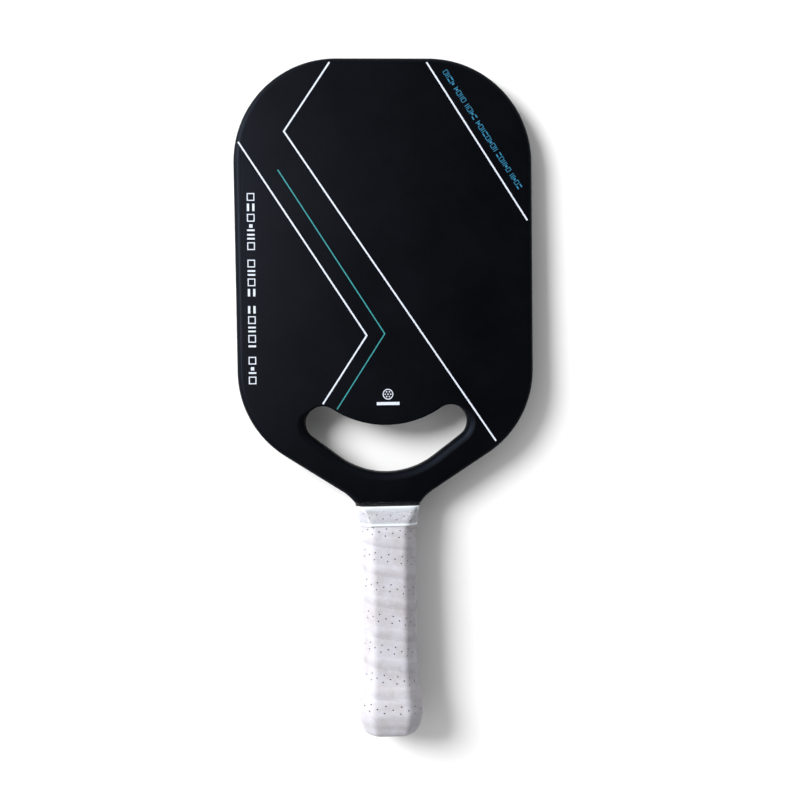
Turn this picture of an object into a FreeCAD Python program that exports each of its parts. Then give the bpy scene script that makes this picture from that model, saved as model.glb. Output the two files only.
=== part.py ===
import FreeCAD, Part
import math
import os
import Sketcher

# A pickleball paddle lying flat.  X runs across the head, Y runs from the butt end towards the
# tip of the head, Z points out of the front face.  The origin is the centre of the butt end.
# Every length is in millimetres and every angle in degrees.

doc = FreeCAD.newDocument("pickleball_paddle")

# ---------------------------------------------------------------- driving dimensions
sizes = {
    # carbon body, seen from the front
    "overallLength": 418.7,
    "headWidth": 183.0,
    "topCornerRadius": 63.2,
    "lowCornerRadius": 62.0,
    "armAngle": 32.9,            # slope of the arms' outer edges, from the X axis
    "armApex": 135.1,            # height on the Y axis where those two edges would meet
    "neckRadius": 29.0,
    "tangWidth": 30.0,           # the part of the body that runs down inside the grip
    # carbon body, through its thickness
    "headThickness": 14.0,
    "skinThickness": 0.7,
    "adhesiveThickness": 0.2,
    "edgeWall": 3.4,
    "edgeRadius": 3.0,
    "foamWidth": 10.0,           # foam between the edge wall and the honeycomb
    "coreLowEdge": 219.0,        # height where the honeycomb stops and the throat foam starts
    "cellSize": 8.0,             # honeycomb pitch
    "cellWall": 0.6,
    # smile-shaped opening in the throat
    "throatTop": 194.5,          # lowest point of its upper edge
    "throatTopRadius": 60.0,
    "throatLow": 165.0,          # lowest point of its lower edge
    "throatLowRadius": 49.0,
    "lobeRadius": 10.7,
    "lobeSpacing": 79.4,
    "linerWall": 3.4,
    "linerRadius": 2.5,
    # handle under the grip
    "handleCoreTop": 128.0,
    "palletTop": 143.4,
    "palletEdge": 1.0,           # thickness of a pallet where its ramp ends
    "palletEdgeInset": 1.0,      # how much narrower its top is there than its foot
    # grip; its straight stretch is as wide as the tang, a gap and the two wraps
    "gripGap": 0.05,
    "gripThickness": 28.3,
    "cornerCover": 0.9,          # least depth of the pallets and gap over the tang's round edges
    "baseGripThickness": 1.2,
    "overgripThickness": 0.65,
    "taperStart": 130.0,         # above this height the grip thins towards the neck
    "collarTop": 144.0,
    "collarGap": 0.07,           # between the neck's sides and the overgrip
    "collarRise": 0.55,          # between the pallets' thin ends and the overgrip
    "collarChamfer": 3.0,
    # clear finishing film round the top of the grip
    "filmThickness": 0.25,
    "filmLow": 132.3,
    "filmReach": 2.3,            # how far the film runs past the grip on to the neck
    "filmNeckGap": 0.15,
    "filmChamfer": 1.6,
    # butt
    "capEndWall": 8.0,           # solid end of the cap, where the handle core stops
    "capSkirt": 31.0,            # height where the cap's skirt ends
    "capLip": 1.0,               # wall of the skirt at its open end
    "flareStart": 37.0,
    "buttFlare": 3.2,            # how far the bulge stands out from the straight grip
    "buttBulge": 15.0,
    "shoulderHeight": 8.2,
    "shoulderInset": 1.2,
    "domeHeight": 2.6,
    "domeInset": 3.6,
    "endInset": 7.4,
}

sheet = doc.addObject("Spreadsheet::Sheet", "Sizes")
for row, (alias, value) in enumerate(sizes.items(), start=1):
    sheet.set(f"A{row}", alias)
    sheet.set(f"B{row}", str(value))
    sheet.setAlias(f"B{row}", alias)
doc.recompute()

subParts = []


def size(alias):
    """The value that the sheet holds for one driving dimension."""
    return float(sheet.get(alias))


def cell(alias):
    """The way an expression names one driving dimension."""
    return f"Sizes.{alias}"


def keep(obj, label):
    """Registers obj as a finished sub-part under its own label."""
    obj.Label = label
    subParts.append(obj)
    return obj


# ---------------------------------------------------------------- sketch helpers
def point(x, y):
    return FreeCAD.Vector(x, y, 0)


def bindConstraint(sketch, constraint, expression):
    """Adds a dimensional constraint and ties its value to the sheet."""
    index = sketch.addConstraint(constraint)
    sketch.setExpression(f"Constraints[{index}]", expression)


def arcBetween(centre, radius, first, last):
    """An arc from angle first to angle last, anticlockwise, both in degrees."""
    circle = Part.Circle(centre, FreeCAD.Vector(0, 0, 1), radius)
    return Part.ArcOfCircle(circle, math.radians(first), math.radians(last))


def onCircle(centre, radius, angle):
    turn = math.radians(angle)
    return centre + point(radius * math.cos(turn), radius * math.sin(turn))


ORIGIN = (-1, 1)       # how a sketch names its origin and its Y axis
Y_AXIS = -2
START = 1
END = 2
CENTRE = 3


# ---------------------------------------------------------------- outline of the carbon body
def bodyOutline():
    """Closed outline: top edge, and on each side corner, side, corner, arm, neck and tang."""
    sketch = doc.addObject("Sketcher::SketchObject", "BodyOutline")
    halfHead = size("headWidth") / 2
    halfTang = size("tangWidth") / 2
    top = size("overallLength")
    end = size("capEndWall")
    topRadius = size("topCornerRadius")
    lowRadius = size("lowCornerRadius")
    neckRadius = size("neckRadius")
    angle = size("armAngle")
    sine = math.sin(math.radians(angle))
    cosine = math.cos(math.radians(angle))
    apex = size("armApex") * cosine
    lowY = (sine * (halfHead - lowRadius) + lowRadius + apex) / cosine
    neckY = (sine * (halfTang + neckRadius) - neckRadius + apex) / cosine
    topLine = sketch.addGeometry(Part.LineSegment(point(topRadius - halfHead, top),
                                                  point(halfHead - topRadius, top)))
    endLine = sketch.addGeometry(Part.LineSegment(point(-halfTang, end), point(halfTang, end)))
    for side in (1, -1):
        def turned(first, last):
            """Angles of an arc on this side, mirrored for the left one."""
            return (first, last) if side == 1 else (180 - last, 180 - first)

        # an anticlockwise arc starts at its lower end on the right and at its upper end on the left
        near, far = (END, START) if side == 1 else (START, END)
        topCentre = point(side * (halfHead - topRadius), top - topRadius)
        lowCentre = point(side * (halfHead - lowRadius), lowY)
        neckCentre = point(side * (halfTang + neckRadius), neckY)
        armTop = onCircle(lowCentre, lowRadius, angle - 90 if side == 1 else 270 - angle)
        armFoot = onCircle(neckCentre, neckRadius, 90 + angle if side == 1 else 90 - angle)
        topArc = sketch.addGeometry(arcBetween(topCentre, topRadius, *turned(0, 90)))
        sideLine = sketch.addGeometry(Part.LineSegment(point(side * halfHead, top - topRadius),
                                                       point(side * halfHead, lowY)))
        lowArc = sketch.addGeometry(arcBetween(lowCentre, lowRadius, *turned(angle - 90, 0)))
        armLine = sketch.addGeometry(Part.LineSegment(armFoot, armTop))
        neckArc = sketch.addGeometry(arcBetween(neckCentre, neckRadius, *turned(90 + angle, 180)))
        tangLine = sketch.addGeometry(Part.LineSegment(point(side * halfTang, neckY),
                                                       point(side * halfTang, end)))
        joints = (
            (topLine, END if side == 1 else START, topArc, near),
            (topArc, far, sideLine, START),
            (sideLine, END, lowArc, near),
            (lowArc, far, armLine, END),
            (armLine, START, neckArc, far),
            (neckArc, near, tangLine, START),
        )
        for joint in joints:
            sketch.addConstraint(Sketcher.Constraint("Tangent", *joint))
        sketch.addConstraint(Sketcher.Constraint("Coincident", tangLine, END,
                                                 endLine, END if side == 1 else START))
        sketch.addConstraint(Sketcher.Constraint("Vertical", sideLine))
        sketch.addConstraint(Sketcher.Constraint("Vertical", tangLine))
        for arc, radius, alias in ((topArc, topRadius, "topCornerRadius"),
                                   (lowArc, lowRadius, "lowCornerRadius"),
                                   (neckArc, neckRadius, "neckRadius")):
            bindConstraint(sketch, Sketcher.Constraint("Radius", arc, radius), cell(alias))
        for line, width, alias in ((sideLine, halfHead, "headWidth"),
                                   (tangLine, halfTang, "tangWidth")):
            ends = (*ORIGIN, line, END) if side == 1 else (line, END, *ORIGIN)
            bindConstraint(sketch, Sketcher.Constraint("DistanceX", *ends, width),
                           f"{cell(alias)} / 2")
        bindConstraint(sketch, Sketcher.Constraint("Distance", *ORIGIN, armLine, apex),
                       f"{cell('armApex')} * cos({cell('armAngle')} * 1deg)")
        # the arm runs outwards and up from the neck
        slope = angle if side == 1 else 180 - angle
        bindConstraint(sketch, Sketcher.Constraint("Angle", armLine, math.radians(slope)),
                       f"{cell('armAngle')} * 1deg" if side == 1
                       else f"(180 - {cell('armAngle')}) * 1deg")
    sketch.addConstraint(Sketcher.Constraint("Horizontal", topLine))
    sketch.addConstraint(Sketcher.Constraint("Horizontal", endLine))
    bindConstraint(sketch, Sketcher.Constraint("DistanceY", *ORIGIN, topLine, START, top),
                   cell("overallLength"))
    bindConstraint(sketch, Sketcher.Constraint("DistanceY", *ORIGIN, endLine, START, end),
                   cell("capEndWall"))
    return sketch


def throatOutline():
    """Closed outline of the opening: upper arc, two round lobes, two straight runs, lower arc."""
    sketch = doc.addObject("Sketcher::SketchObject", "ThroatOutline")
    topRadius = size("throatTopRadius")
    lowRadius = size("throatLowRadius")
    lobe = size("lobeRadius")
    lobeX = size("lobeSpacing") / 2
    topCentre = point(0, size("throatTop") + topRadius)
    lowCentre = point(0, size("throatLow") + lowRadius)
    lobeY = topCentre.y - math.sqrt((topRadius + lobe) ** 2 - lobeX ** 2)
    # direction from the upper arc's centre to the right lobe, and of the straight run's normal
    reach = math.degrees(math.atan2(lobeY - topCentre.y, lobeX))
    run = point(lobeX, lobeY) - lowCentre
    normal = math.degrees(math.atan2(run.y, run.x) - math.acos((lowRadius - lobe) / run.Length))
    topArc = sketch.addGeometry(arcBetween(topCentre, topRadius, -180 - reach, reach))
    lowArc = sketch.addGeometry(arcBetween(lowCentre, lowRadius, -180 - normal, normal))
    for side in (1, -1):
        centre = point(side * lobeX, lobeY)
        first, last = normal, reach + 180
        if side == -1:
            first, last = 180 - last, 180 - first
        outward = normal if side == 1 else 180 - normal
        lobeArc = sketch.addGeometry(arcBetween(centre, lobe, first, last))
        straight = sketch.addGeometry(Part.LineSegment(onCircle(lowCentre, lowRadius, outward),
                                                       onCircle(centre, lobe, outward)))
        inner, outer = (END, START) if side == 1 else (START, END)
        joints = (
            (topArc, END if side == 1 else START, lobeArc, inner),
            (lobeArc, outer, straight, END),
            (straight, START, lowArc, END if side == 1 else START),
        )
        for joint in joints:
            sketch.addConstraint(Sketcher.Constraint("Tangent", *joint))
        bindConstraint(sketch, Sketcher.Constraint("Radius", lobeArc, lobe), cell("lobeRadius"))
        ends = (*ORIGIN, lobeArc, CENTRE) if side == 1 else (lobeArc, CENTRE, *ORIGIN)
        bindConstraint(sketch, Sketcher.Constraint("DistanceX", *ends, lobeX),
                       f"{cell('lobeSpacing')} / 2")
    for arc, radius, low, radiusAlias in ((topArc, topRadius, "throatTop", "throatTopRadius"),
                                          (lowArc, lowRadius, "throatLow", "throatLowRadius")):
        sketch.addConstraint(Sketcher.Constraint("PointOnObject", arc, CENTRE, Y_AXIS))
        bindConstraint(sketch, Sketcher.Constraint("Radius", arc, radius), cell(radiusAlias))
        bindConstraint(sketch, Sketcher.Constraint("DistanceY", *ORIGIN, arc, CENTRE,
                                                   size(low) + radius),
                       f"{cell(low)} + {cell(radiusAlias)}")
    return sketch


# ---------------------------------------------------------------- slabs cut to the outlines
def filled(sketch, name):
    """The flat region that a closed sketch bounds."""
    face = doc.addObject("Part::Face", name)
    face.Sources = [sketch]
    face.FaceMakerClass = "Part::FaceMakerBullseye"
    return face


def offsetOutline(outline, name, distance):
    """The outline grown by the expression distance, or shrunk where that is negative."""
    offset = doc.addObject("Part::Offset2D", name)
    offset.Source = outline
    offset.Mode = "Skin"
    offset.setExpression("Value", distance)
    return offset


def slab(outline, name, bottom, height):
    """A flat slab on an outline, from the expression bottom upwards."""
    solid = doc.addObject("Part::Extrusion", name)
    solid.Base = outline
    solid.DirMode = "Custom"
    solid.Dir = FreeCAD.Vector(0, 0, 1)
    solid.Solid = True
    solid.FaceMakerClass = "Part::FaceMakerBullseye"
    solid.setExpression("LengthFwd", height)
    solid.setExpression("Placement.Base.z", bottom)
    return solid


def cut(base, tool, name):
    result = doc.addObject("Part::Cut", name)
    result.Base = base
    result.Tool = tool
    return result


def common(base, tool, name):
    result = doc.addObject("Part::Common", name)
    result.Base = base
    result.Tool = tool
    return result


def band(name, low, high):
    """A block wider than the head that holds everything between two heights along Y."""
    block = doc.addObject("Part::Box", name)
    block.setExpression("Length", f"{cell('headWidth')} * 2")
    block.setExpression("Width", f"({high}) - ({low})")
    block.setExpression("Height", f"{cell('headThickness')} * 2")
    block.setExpression("Placement.Base.x", f"-{cell('headWidth')}")
    block.setExpression("Placement.Base.y", low)
    block.setExpression("Placement.Base.z", f"-{cell('headThickness')}")
    return block


half = f"{cell('headThickness')} / 2"
skin = cell("skinThickness")
glue = cell("adhesiveThickness")
coreHalf = f"({half} - {skin} - {glue})"

outline = filled(bodyOutline(), "BodyFace")
throat = filled(throatOutline(), "ThroatFace")
skinOutline = offsetOutline(outline, "SkinOutline", f"-{cell('edgeWall')}")
coreOutline = offsetOutline(outline, "CoreOutline", f"-{cell('edgeWall')} - {cell('foamWidth')}")
linerOutline = offsetOutline(throat, "LinerOutline", cell("linerWall"))


def carbonLayer(name, bottom, height):
    """One full-size layer of the lay-up, with the throat cut out."""
    whole = slab(skinOutline, f"{name}Whole", bottom, height)
    hole = slab(linerOutline, f"{name}Hole", bottom, height)
    return cut(whole, hole, name)


def roundedEdges(base, name, along, radius, lowest):
    """Rounds the front and back edges of base that lie on the outline along."""
    doc.recompute()
    halfThickness = size("headThickness") / 2
    chosen = []
    for number, edge in enumerate(base.Shape.Edges, start=1):
        middle = edge.valueAt((edge.FirstParameter + edge.LastParameter) / 2)
        flat = point(middle.x, middle.y)
        onFace = abs(abs(middle.z) - halfThickness) < 0.001
        if not onFace or middle.y < lowest:
            continue
        if along.Shape.OuterWire.distToShape(Part.Vertex(flat))[0] < 0.001:
            chosen.append((number, radius, radius))
    result = doc.addObject("Part::Fillet", name)
    result.Base = base
    result.Edges = chosen
    return result


# carbon facesheets and the film adhesive behind them
keep(carbonLayer("FrontFace", f"{half} - {skin}", skin), "front_face")
keep(carbonLayer("BackFace", f"-{half}", skin), "back_face")
keep(carbonLayer("FrontAdhesive", coreHalf, glue), "front_film_adhesive")
keep(carbonLayer("BackAdhesive", f"-{coreHalf} - {glue}", glue), "back_film_adhesive")

# carbon wall round the whole body
edgeOuter = slab(outline, "EdgeOuter", f"-{half}", cell("headThickness"))
edgeInner = slab(skinOutline, "EdgeInner", f"-{half}", cell("headThickness"))
edgeRing = cut(edgeOuter, edgeInner, "EdgeRing")
keep(roundedEdges(edgeRing, "EdgeWall", outline, size("edgeRadius"), size("capEndWall") + 1),
     "edge_wall")

# carbon liner round the throat opening
linerOuter = slab(linerOutline, "LinerOuter", f"-{half}", cell("headThickness"))
linerInner = slab(throat, "LinerInner", f"-{half}", cell("headThickness"))
linerRing = cut(linerOuter, linerInner, "LinerRing")
keep(roundedEdges(linerRing, "ThroatLiner", throat, size("linerRadius"), 0), "throat_liner")

# foam between the edge wall, the liner and the honeycomb, split where each block ends
coreTop = f"{cell('overallLength')} + {cell('edgeWall')}"
headBand = band("HeadBand", cell("coreLowEdge"), coreTop)
throatBand = band("ThroatBand", cell("handleCoreTop"), cell("coreLowEdge"))
handleBand = band("HandleBand", "0", cell("handleCoreTop"))
coreBlock = slab(skinOutline, "CoreBlock", f"-{coreHalf}", f"2 * {coreHalf}")
honeycombBlock = slab(coreOutline, "HoneycombBlock", f"-{coreHalf}", f"2 * {coreHalf}")
throatHole = slab(linerOutline, "ThroatHole", f"-{coreHalf}", f"2 * {coreHalf}")
headBlock = common(coreBlock, headBand, "HeadBlock")
keep(cut(headBlock, honeycombBlock, "PerimeterFoam"), "perimeter_foam")
throatBlock = common(coreBlock, throatBand, "ThroatBlock")
keep(cut(throatBlock, throatHole, "ThroatFoam"), "throat_foam")
keep(common(coreBlock, handleBand, "HandleCore"), "handle_core")


# ---------------------------------------------------------------- honeycomb core
def hexagon(x, y, radius, height):
    """A regular hexagon with two sides parallel to Y."""
    corners = [point(x, y) + onCircle(point(0, 0), radius, 30 + 60 * i) for i in range(6)]
    for corner in corners:
        corner.z = height
    return Part.makePolygon(corners + corners[:1])


def honeycombCore():
    """The head's core: a plate with every whole hexagonal cell that fits inside its rim.

    Hundreds of cells are one face with holes, so they are drawn together and extruded once.
    """
    doc.recompute()
    envelope = honeycombBlock.Shape.common(headBand.Shape)
    bottom = min(envelope.Faces, key=lambda face: face.CenterOfMass.z)
    base = bottom.CenterOfMass.z
    pitch = size("cellSize")
    radius = (pitch - size("cellWall")) / math.sqrt(3)
    rim = pitch / math.sqrt(3)
    rows = int(size("overallLength") / (pitch * math.sqrt(3) / 2)) + 1
    columns = int(size("headWidth") / pitch) + 1
    cells = []
    for row in range(rows):
        y = row * pitch * math.sqrt(3) / 2
        if y < size("coreLowEdge"):
            continue
        for column in range(-columns, columns + 1):
            x = (column + 0.5 * (row % 2)) * pitch
            corners = [onCircle(point(x, y), rim, 30 + 60 * i) for i in range(6)]
            for corner in corners:
                corner.z = base
            if all(bottom.isInside(corner, 0.01, True) for corner in corners):
                cells.append(hexagon(x, y, radius, base))
    plate = Part.makeFace([bottom.OuterWire] + cells, "Part::FaceMakerBullseye")
    thickness = envelope.BoundBox.ZMax - base
    feature = doc.addObject("Part::Feature", "HoneycombCore")
    feature.Shape = plate.extrude(FreeCAD.Vector(0, 0, thickness))
    return feature


keep(honeycombCore(), "honeycomb_core")


# ---------------------------------------------------------------- handle
def newBody(name):
    return doc.addObject("PartDesign::Body", name)


def crossSketch(body, name, height):
    """A sketch square to the handle at a height along Y, given as an expression."""
    plane = [item for item in body.Origin.OriginFeatures if item.Role == "XZ_Plane"][0]
    sketch = body.newObject("Sketcher::SketchObject", name)
    sketch.AttachmentSupport = [(plane, "")]
    sketch.MapMode = "FlatFace"
    sketch.setExpression("AttachmentOffset.Base.z", f"-({height})")
    return sketch


def symmetricLoop(sketch, corners):
    """Draws a polygon that is symmetric left to right, from the corners of its right half.

    Each corner is a pair of expressions, and is placed by distances from the origin.
    """
    right = [(float(sketch.evalExpression(x)), float(sketch.evalExpression(z)))
             for x, z in corners]
    left = [(-x, z) for x, z in reversed(right)]
    loop = [point(x, z) for x, z in right + left]
    count = len(loop)
    for i in range(count):
        sketch.addGeometry(Part.LineSegment(loop[i], loop[(i + 1) % count]))
    for i in range(count):
        sketch.addConstraint(Sketcher.Constraint("Coincident", i, END, (i + 1) % count, START))
    for i, (x, z) in enumerate(corners):
        mirrored = count - 1 - i
        bindConstraint(sketch, Sketcher.Constraint("DistanceX", *ORIGIN, i, START, right[i][0]), x)
        sign = 1 if right[i][1] >= 0 else -1
        ends = (*ORIGIN, i, START) if sign == 1 else (i, START, *ORIGIN)
        bindConstraint(sketch, Sketcher.Constraint("DistanceY", *ends, sign * right[i][1]),
                       z if sign == 1 else f"-({z})")
        sketch.addConstraint(Sketcher.Constraint("Symmetric", i, START, mirrored, START, Y_AXIS))


def octagon(body, name, station, standoff):
    """The grip's eight-sided section at one station, grown by the expression standoff."""
    height, halfWidth, halfThickness, chamfer = station
    sketch = crossSketch(body, name, height)
    wide = f"({halfWidth} + ({standoff}))"
    thick = f"({halfThickness} + ({standoff}))"
    corner = f"({chamfer} + ({standoff}) * {PARALLEL})"
    symmetricLoop(sketch, [
        (f"{wide} - {corner}", thick),
        (wide, f"{thick} - {corner}"),
        (wide, f"-({thick} - {corner})"),
        (f"{wide} - {corner}", f"-{thick}"),
    ])
    return sketch


def loft(body, kind, name, sections):
    """A ruled loft through the sections, added to the body or cut from it."""
    feature = body.newObject(f"PartDesign::{kind}Loft", name)
    feature.Profile = sections[0]
    feature.Sections = sections[1:]
    feature.Ruled = True
    body.Tip = feature
    return feature


# how far the neck's half width reaches at a height: its arc starts upright at neckLow
turn = f"({cell('armAngle')} * 1deg)"
neckX = f"({cell('tangWidth')} / 2 + {cell('neckRadius')})"
neckLow = f"((sin{turn} * {neckX} - {cell('neckRadius')}) / cos{turn} + {cell('armApex')})"


def neckHalfWidth(height):
    return f"({neckX} - sqrt({cell('neckRadius')} ^ 2 - ({height} - {neckLow}) ^ 2))"


# the straight grip's section: its chamfers clear the tang's rounded edges
PARALLEL = 2 - math.sqrt(2)      # a parallel octagon's chamfers change by this share of the offset
wraps = f"({cell('overgripThickness')} + {cell('baseGripThickness')})"
gripHalfWidth = f"({cell('tangWidth')} / 2 + {cell('gripGap')} + {wraps})"
gripHalfThickness = f"({cell('gripThickness')} / 2)"
cornerReach = (f"({cell('tangWidth')} / 2 + {half} - 2 * {cell('edgeRadius')}"
               f" + {math.sqrt(2)} * ({cell('edgeRadius')} + {cell('cornerCover')}))")
innerChamfer = f"({gripHalfWidth} + {gripHalfThickness} - 2 * {wraps} - {cornerReach})"
gripChamfer = f"({innerChamfer} + {wraps} * {PARALLEL})"


def straightStation(height):
    return (height, gripHalfWidth, gripHalfThickness, gripChamfer)


def buttStation(height, inset):
    """A station of the flared butt, held in from its bulge by an inset."""
    grow = f"({cell('buttFlare')} - ({inset}))"
    share = f"(1 + {grow} / {gripHalfThickness})"
    return (height, f"({gripHalfWidth} + {grow})", f"({gripHalfThickness} + {grow})",
            f"{gripChamfer} * {share}")


# the grip's outside, from the butt end to the neck
endStation = buttStation("0", cell("endInset"))
domeStation = buttStation(cell("domeHeight"), cell("domeInset"))
shoulderStation = buttStation(cell("shoulderHeight"), cell("shoulderInset"))
bulgeStation = buttStation(cell("buttBulge"), "0")
skirtStation = buttStation(cell("capSkirt"), f"{cell('buttFlare')} - {cell('capLip')}")
lowStation = straightStation(cell("flareStart"))
highStation = straightStation(cell("taperStart"))
collarStation = (
    cell("collarTop"),
    f"({neckHalfWidth(cell('collarTop'))} + {cell('collarGap')} + {cell('overgripThickness')})",
    f"({half} + {cell('palletEdge')} + {cell('collarRise')} + {cell('overgripThickness')})",
    cell("collarChamfer"),
)

overgripInside = f"-{cell('overgripThickness')}"
gripInside = f"-{wraps}"


def sleeve(name, stations, outside, inside):
    """A hollow sleeve between two standoffs from the grip's outside."""
    body = newBody(name)
    outer = [octagon(body, f"{name}Outer{i}", s, outside) for i, s in enumerate(stations)]
    loft(body, "Additive", f"{name}Outside", outer)
    inner = [octagon(body, f"{name}Inner{i}", s, inside) for i, s in enumerate(stations)]
    loft(body, "Subtractive", f"{name}Inside", inner)
    return body


def pallet(name, side):
    """One handle pallet: a trapezoid bar on the tang's face, ramped down at the neck."""
    body = newBody(name)
    halfWidth = f"({gripHalfWidth} - {wraps})"
    top = f"({gripHalfThickness} - {wraps})"
    corner = innerChamfer
    foot = f"({halfWidth} - max(0; {corner} - ({top} - {half})))"
    rampTop = f"({half} + {cell('palletEdge')})"
    sections = []
    for number, (height, footWidth, topWidth, level) in enumerate((
            (cell("capEndWall"), foot, f"{halfWidth} - {corner}", top),
            (cell("taperStart"), foot, f"{halfWidth} - {corner}", top),
            (cell("palletTop"), foot, f"{foot} - {cell('palletEdgeInset')}", rampTop))):
        sketch = crossSketch(body, f"{name}Section{number}", height)
        bottom, upper = (half, level) if side == 1 else (f"-({half})", f"-({level})")
        symmetricLoop(sketch, [(topWidth, upper), (footWidth, bottom)])
        sections.append(sketch)
    loft(body, "Additive", f"{name}Bar", sections)
    return body


def buttCap():
    """Moulded cap: a domed end the full size of the grip, then a skirt under the grip."""
    body = newBody("ButtCap")
    dome = [octagon(body, "CapEnd", endStation, "0"), octagon(body, "CapDome", domeStation, "0")]
    loft(body, "Additive", "CapNose", dome)
    stations = (domeStation, shoulderStation, bulgeStation, skirtStation)
    skirt = [octagon(body, f"CapSkirt{i}", s, gripInside) for i, s in enumerate(stations)]
    loft(body, "Additive", "CapShell", skirt)
    socket = [octagon(body, "CapSocketLow", straightStation(cell("capEndWall")), gripInside),
              octagon(body, "CapSocketHigh", straightStation(cell("capSkirt")), gripInside)]
    loft(body, "Subtractive", "CapSocket", socket)
    return body


keep(pallet("HandlePalletFront", 1), "handle_pallet_front")
keep(pallet("HandlePalletBack", -1), "handle_pallet_back")
keep(buttCap(), "butt_cap")
gripStations = (domeStation, shoulderStation, bulgeStation, skirtStation, lowStation, highStation)
keep(sleeve("BaseGrip", gripStations, overgripInside, gripInside), "base_grip")
keep(sleeve("Overgrip", gripStations + (collarStation,), "0", overgripInside), "overgrip")


# ---------------------------------------------------------------- clear finishing film
def filmStations():
    """The film follows the grip's taper, then steps down on to the neck above it."""
    share = (f"(({cell('filmLow')} - {cell('taperStart')})"
             f" / ({cell('collarTop')} - {cell('taperStart')}))")

    def between(low, high):
        return f"({low} + ({high} - ({low})) * {share})"

    low = (cell("filmLow"),) + tuple(between(a, b)
                                     for a, b in zip(highStation[1:], collarStation[1:]))
    reach = f"({cell('collarTop')} + {cell('filmReach')})"
    high = (reach, f"({neckHalfWidth(reach)} + {cell('filmNeckGap')})",
            f"({half} + {cell('filmNeckGap')})", cell("filmChamfer"))
    return low, collarStation, high


film = newBody("FinishingFilm")
filmOuter = [octagon(film, f"FilmOuter{i}", s, cell("filmThickness"))
             for i, s in enumerate(filmStations())]
loft(film, "Additive", "FilmOutside", filmOuter)
filmInner = [octagon(film, f"FilmInner{i}", s, "0") for i, s in enumerate(filmStations())]
loft(film, "Subtractive", "FilmInside", filmInner)
keep(film, "finishing_film")

# ---------------------------------------------------------------- checks and files
doc.recompute()
for obj in doc.Objects:
    if "Invalid" in obj.State or "Error" in obj.State:
        raise RuntimeError(f"{obj.Name} did not build: {obj.State}")
for part in subParts:
    if part.Shape.isNull() or not part.Shape.isValid() or not part.Shape.Solids:
        raise RuntimeError(f"{part.Label} has no valid solid")

os.makedirs("parts", exist_ok=True)
for part in subParts:
    part.Shape.exportStep(f"parts/{part.Label}.step")
    print(f"{part.Label}: {len(part.Shape.Solids)} solid, {part.Shape.Volume / 1000:.2f} cm3")
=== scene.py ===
import math
import bmesh
import bpy
import numpy as np
from mathutils import Matrix, Vector, noise


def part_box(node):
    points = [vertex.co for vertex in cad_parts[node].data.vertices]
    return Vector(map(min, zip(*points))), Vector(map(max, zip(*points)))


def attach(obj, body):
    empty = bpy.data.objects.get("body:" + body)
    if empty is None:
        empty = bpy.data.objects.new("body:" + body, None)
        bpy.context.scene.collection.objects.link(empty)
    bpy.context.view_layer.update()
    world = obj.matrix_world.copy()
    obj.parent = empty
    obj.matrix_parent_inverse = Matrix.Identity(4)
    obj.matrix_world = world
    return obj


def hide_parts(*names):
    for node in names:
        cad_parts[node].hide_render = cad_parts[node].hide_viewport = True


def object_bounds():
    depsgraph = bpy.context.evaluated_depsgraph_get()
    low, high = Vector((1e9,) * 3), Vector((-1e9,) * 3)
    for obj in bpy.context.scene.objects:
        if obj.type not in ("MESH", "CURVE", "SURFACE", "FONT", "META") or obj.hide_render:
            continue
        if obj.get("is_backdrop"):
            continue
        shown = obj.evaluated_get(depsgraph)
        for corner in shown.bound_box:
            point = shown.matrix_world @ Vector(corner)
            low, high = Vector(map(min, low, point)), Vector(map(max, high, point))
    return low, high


# A pickleball paddle lying on a pale floor, front face up.
# x runs across the head, y from the butt end to the tip, z out of the front face.

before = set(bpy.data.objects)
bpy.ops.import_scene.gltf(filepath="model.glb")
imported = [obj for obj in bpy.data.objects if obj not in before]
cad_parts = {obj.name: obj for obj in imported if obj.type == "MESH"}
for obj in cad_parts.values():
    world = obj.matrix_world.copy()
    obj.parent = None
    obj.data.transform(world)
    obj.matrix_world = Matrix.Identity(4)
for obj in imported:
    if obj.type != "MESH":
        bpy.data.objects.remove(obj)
cadBounds = [list(corner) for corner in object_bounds()]
mm = 0.001
print("frame loaded:", len(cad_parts), "nodes")


# ---- camera
cameraSet = {
    "aim": (0.0085, 0.0002, 0.0),       # from the middle of the object, metres
    "distance": 0.7159,
    "tilt": (-2.958, -3.42, -0.912),    # degrees about x, y and z
    "lens": 51.63,
}
middle = (Vector(cadBounds[0]) + Vector(cadBounds[1])) / 2
cameraData = bpy.data.cameras.new("camera")
cameraData.lens = cameraSet["lens"]
camera = bpy.data.objects.new("camera", cameraData)
bpy.context.scene.collection.objects.link(camera)
camera.rotation_mode = "ZYX"
camera.rotation_euler = [math.radians(angle) for angle in cameraSet["tilt"]]
backward = camera.rotation_euler.to_matrix() @ Vector((0, 0, 1))
aim = Vector((middle.x, middle.y, 0)) + Vector(cameraSet["aim"])
camera.location = aim + backward * cameraSet["distance"]
bpy.context.scene.camera = camera


# ---- small tools
def linear(hexColour):
    # sRGB hex to linear, with alpha
    values = [int(hexColour[i:i + 2], 16) / 255 for i in (1, 3, 5)]
    return tuple(v / 12.92 if v < 0.04045 else ((v + 0.055) / 1.055) ** 2.4 for v in values) + (1.0,)


def addNode(tree, kind, links=None, **settings):
    # a link is a value or another node's output, under the input's name or number
    node = tree.nodes.new(kind)
    for name, value in settings.items():
        setattr(node, name, value)
    for name, value in (links or {}).items():
        if isinstance(value, bpy.types.NodeSocket):
            tree.links.new(value, node.inputs[name])
        else:
            node.inputs[name].default_value = value
    return node


def newMaterial(name):
    material = bpy.data.materials.new(name)
    material.use_nodes = True
    tree = material.node_tree
    tree.nodes.clear()
    place = addNode(tree, "ShaderNodeTexCoord").outputs["Object"]
    return material, tree, place


def closeMaterial(tree, links):
    shader = addNode(tree, "ShaderNodeBsdfPrincipled", links)
    addNode(tree, "ShaderNodeOutputMaterial", {"Surface": shader.outputs["BSDF"]})


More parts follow.
